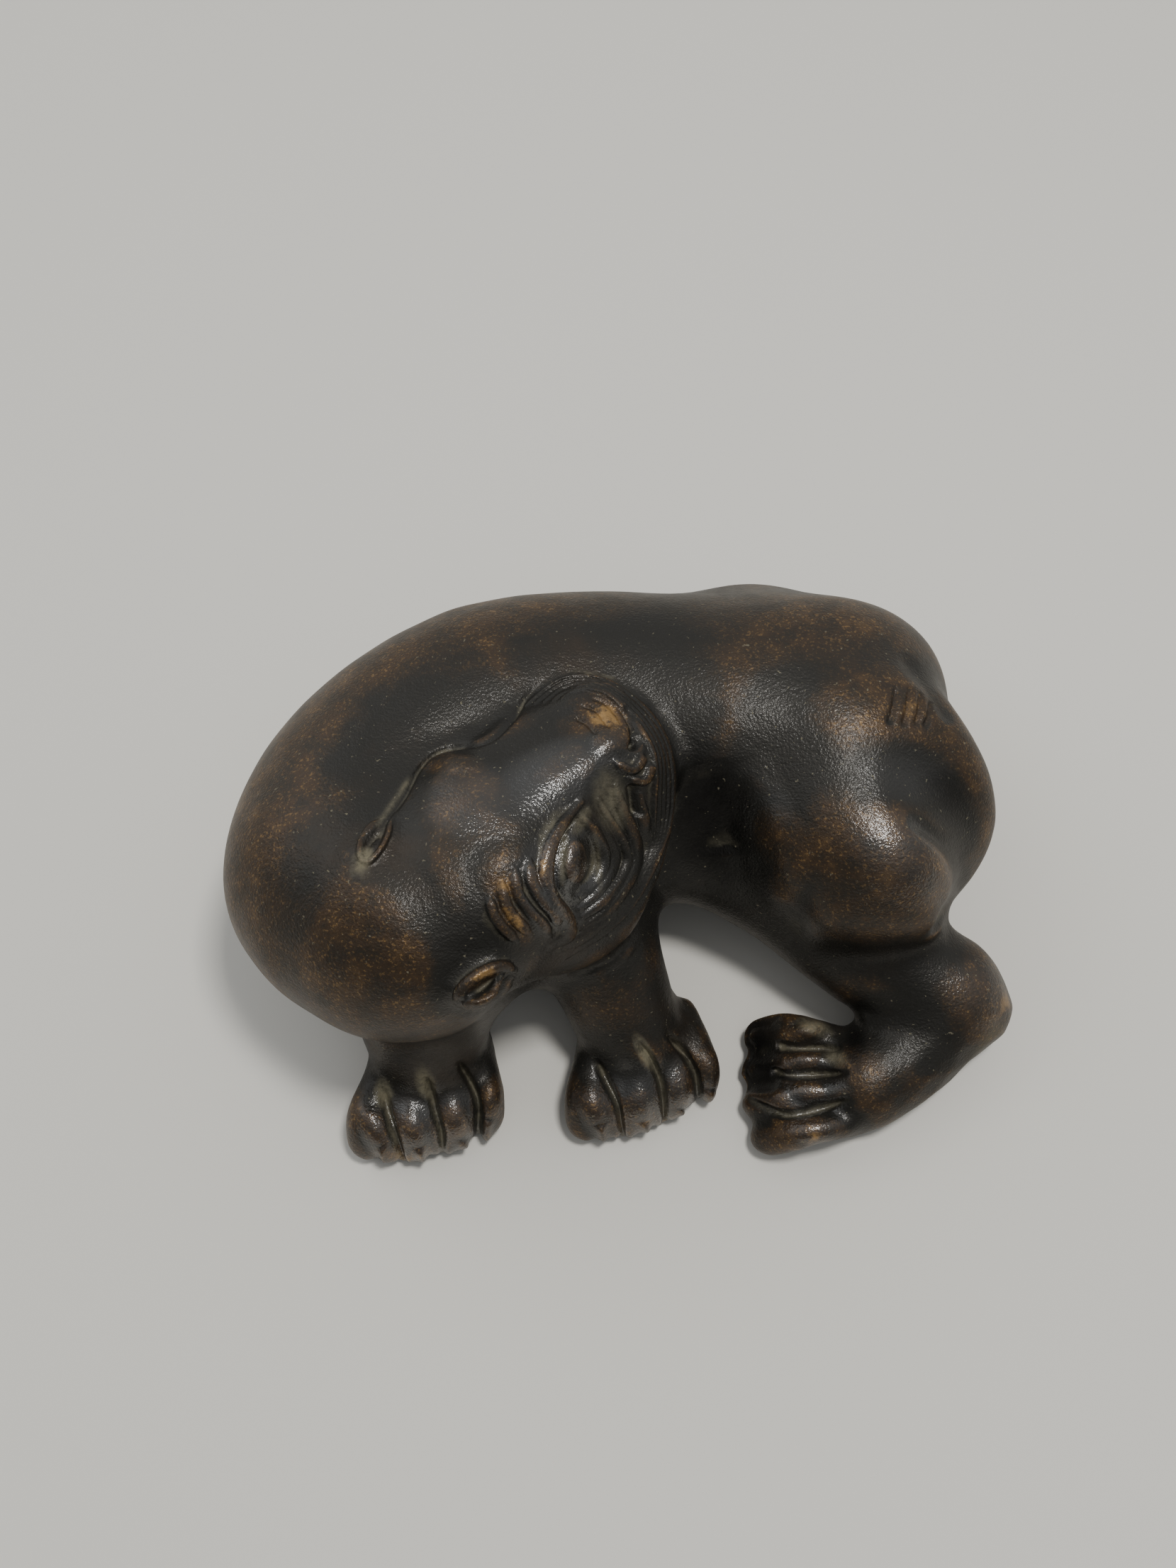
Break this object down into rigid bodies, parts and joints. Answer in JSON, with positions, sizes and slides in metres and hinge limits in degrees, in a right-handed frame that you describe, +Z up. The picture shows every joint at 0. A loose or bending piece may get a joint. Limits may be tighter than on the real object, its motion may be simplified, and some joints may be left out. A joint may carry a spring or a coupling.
{
  "type": "crouching tiger figure",
  "caption": "Cast bronze figure of a crouching tiger curled on itself, its head turned back over its flank, standing flat on its paws.",
  "frame": {"origin": "middle of the figure's plan, on the surface it stands on", "axes": "+Z up; +X from the head and shoulders towards the rump; both front paws point to -Y"},
  "size_m": [0.1496, 0.116, 0.069],
  "materials": {
    "bronze": "dark brown patinated cast bronze, waxed, rubbed reddish brown on its high places"
  },
  "bodies": {
    "root": {"tiger_figure": "bronze"}
  },
  "joints": []
}
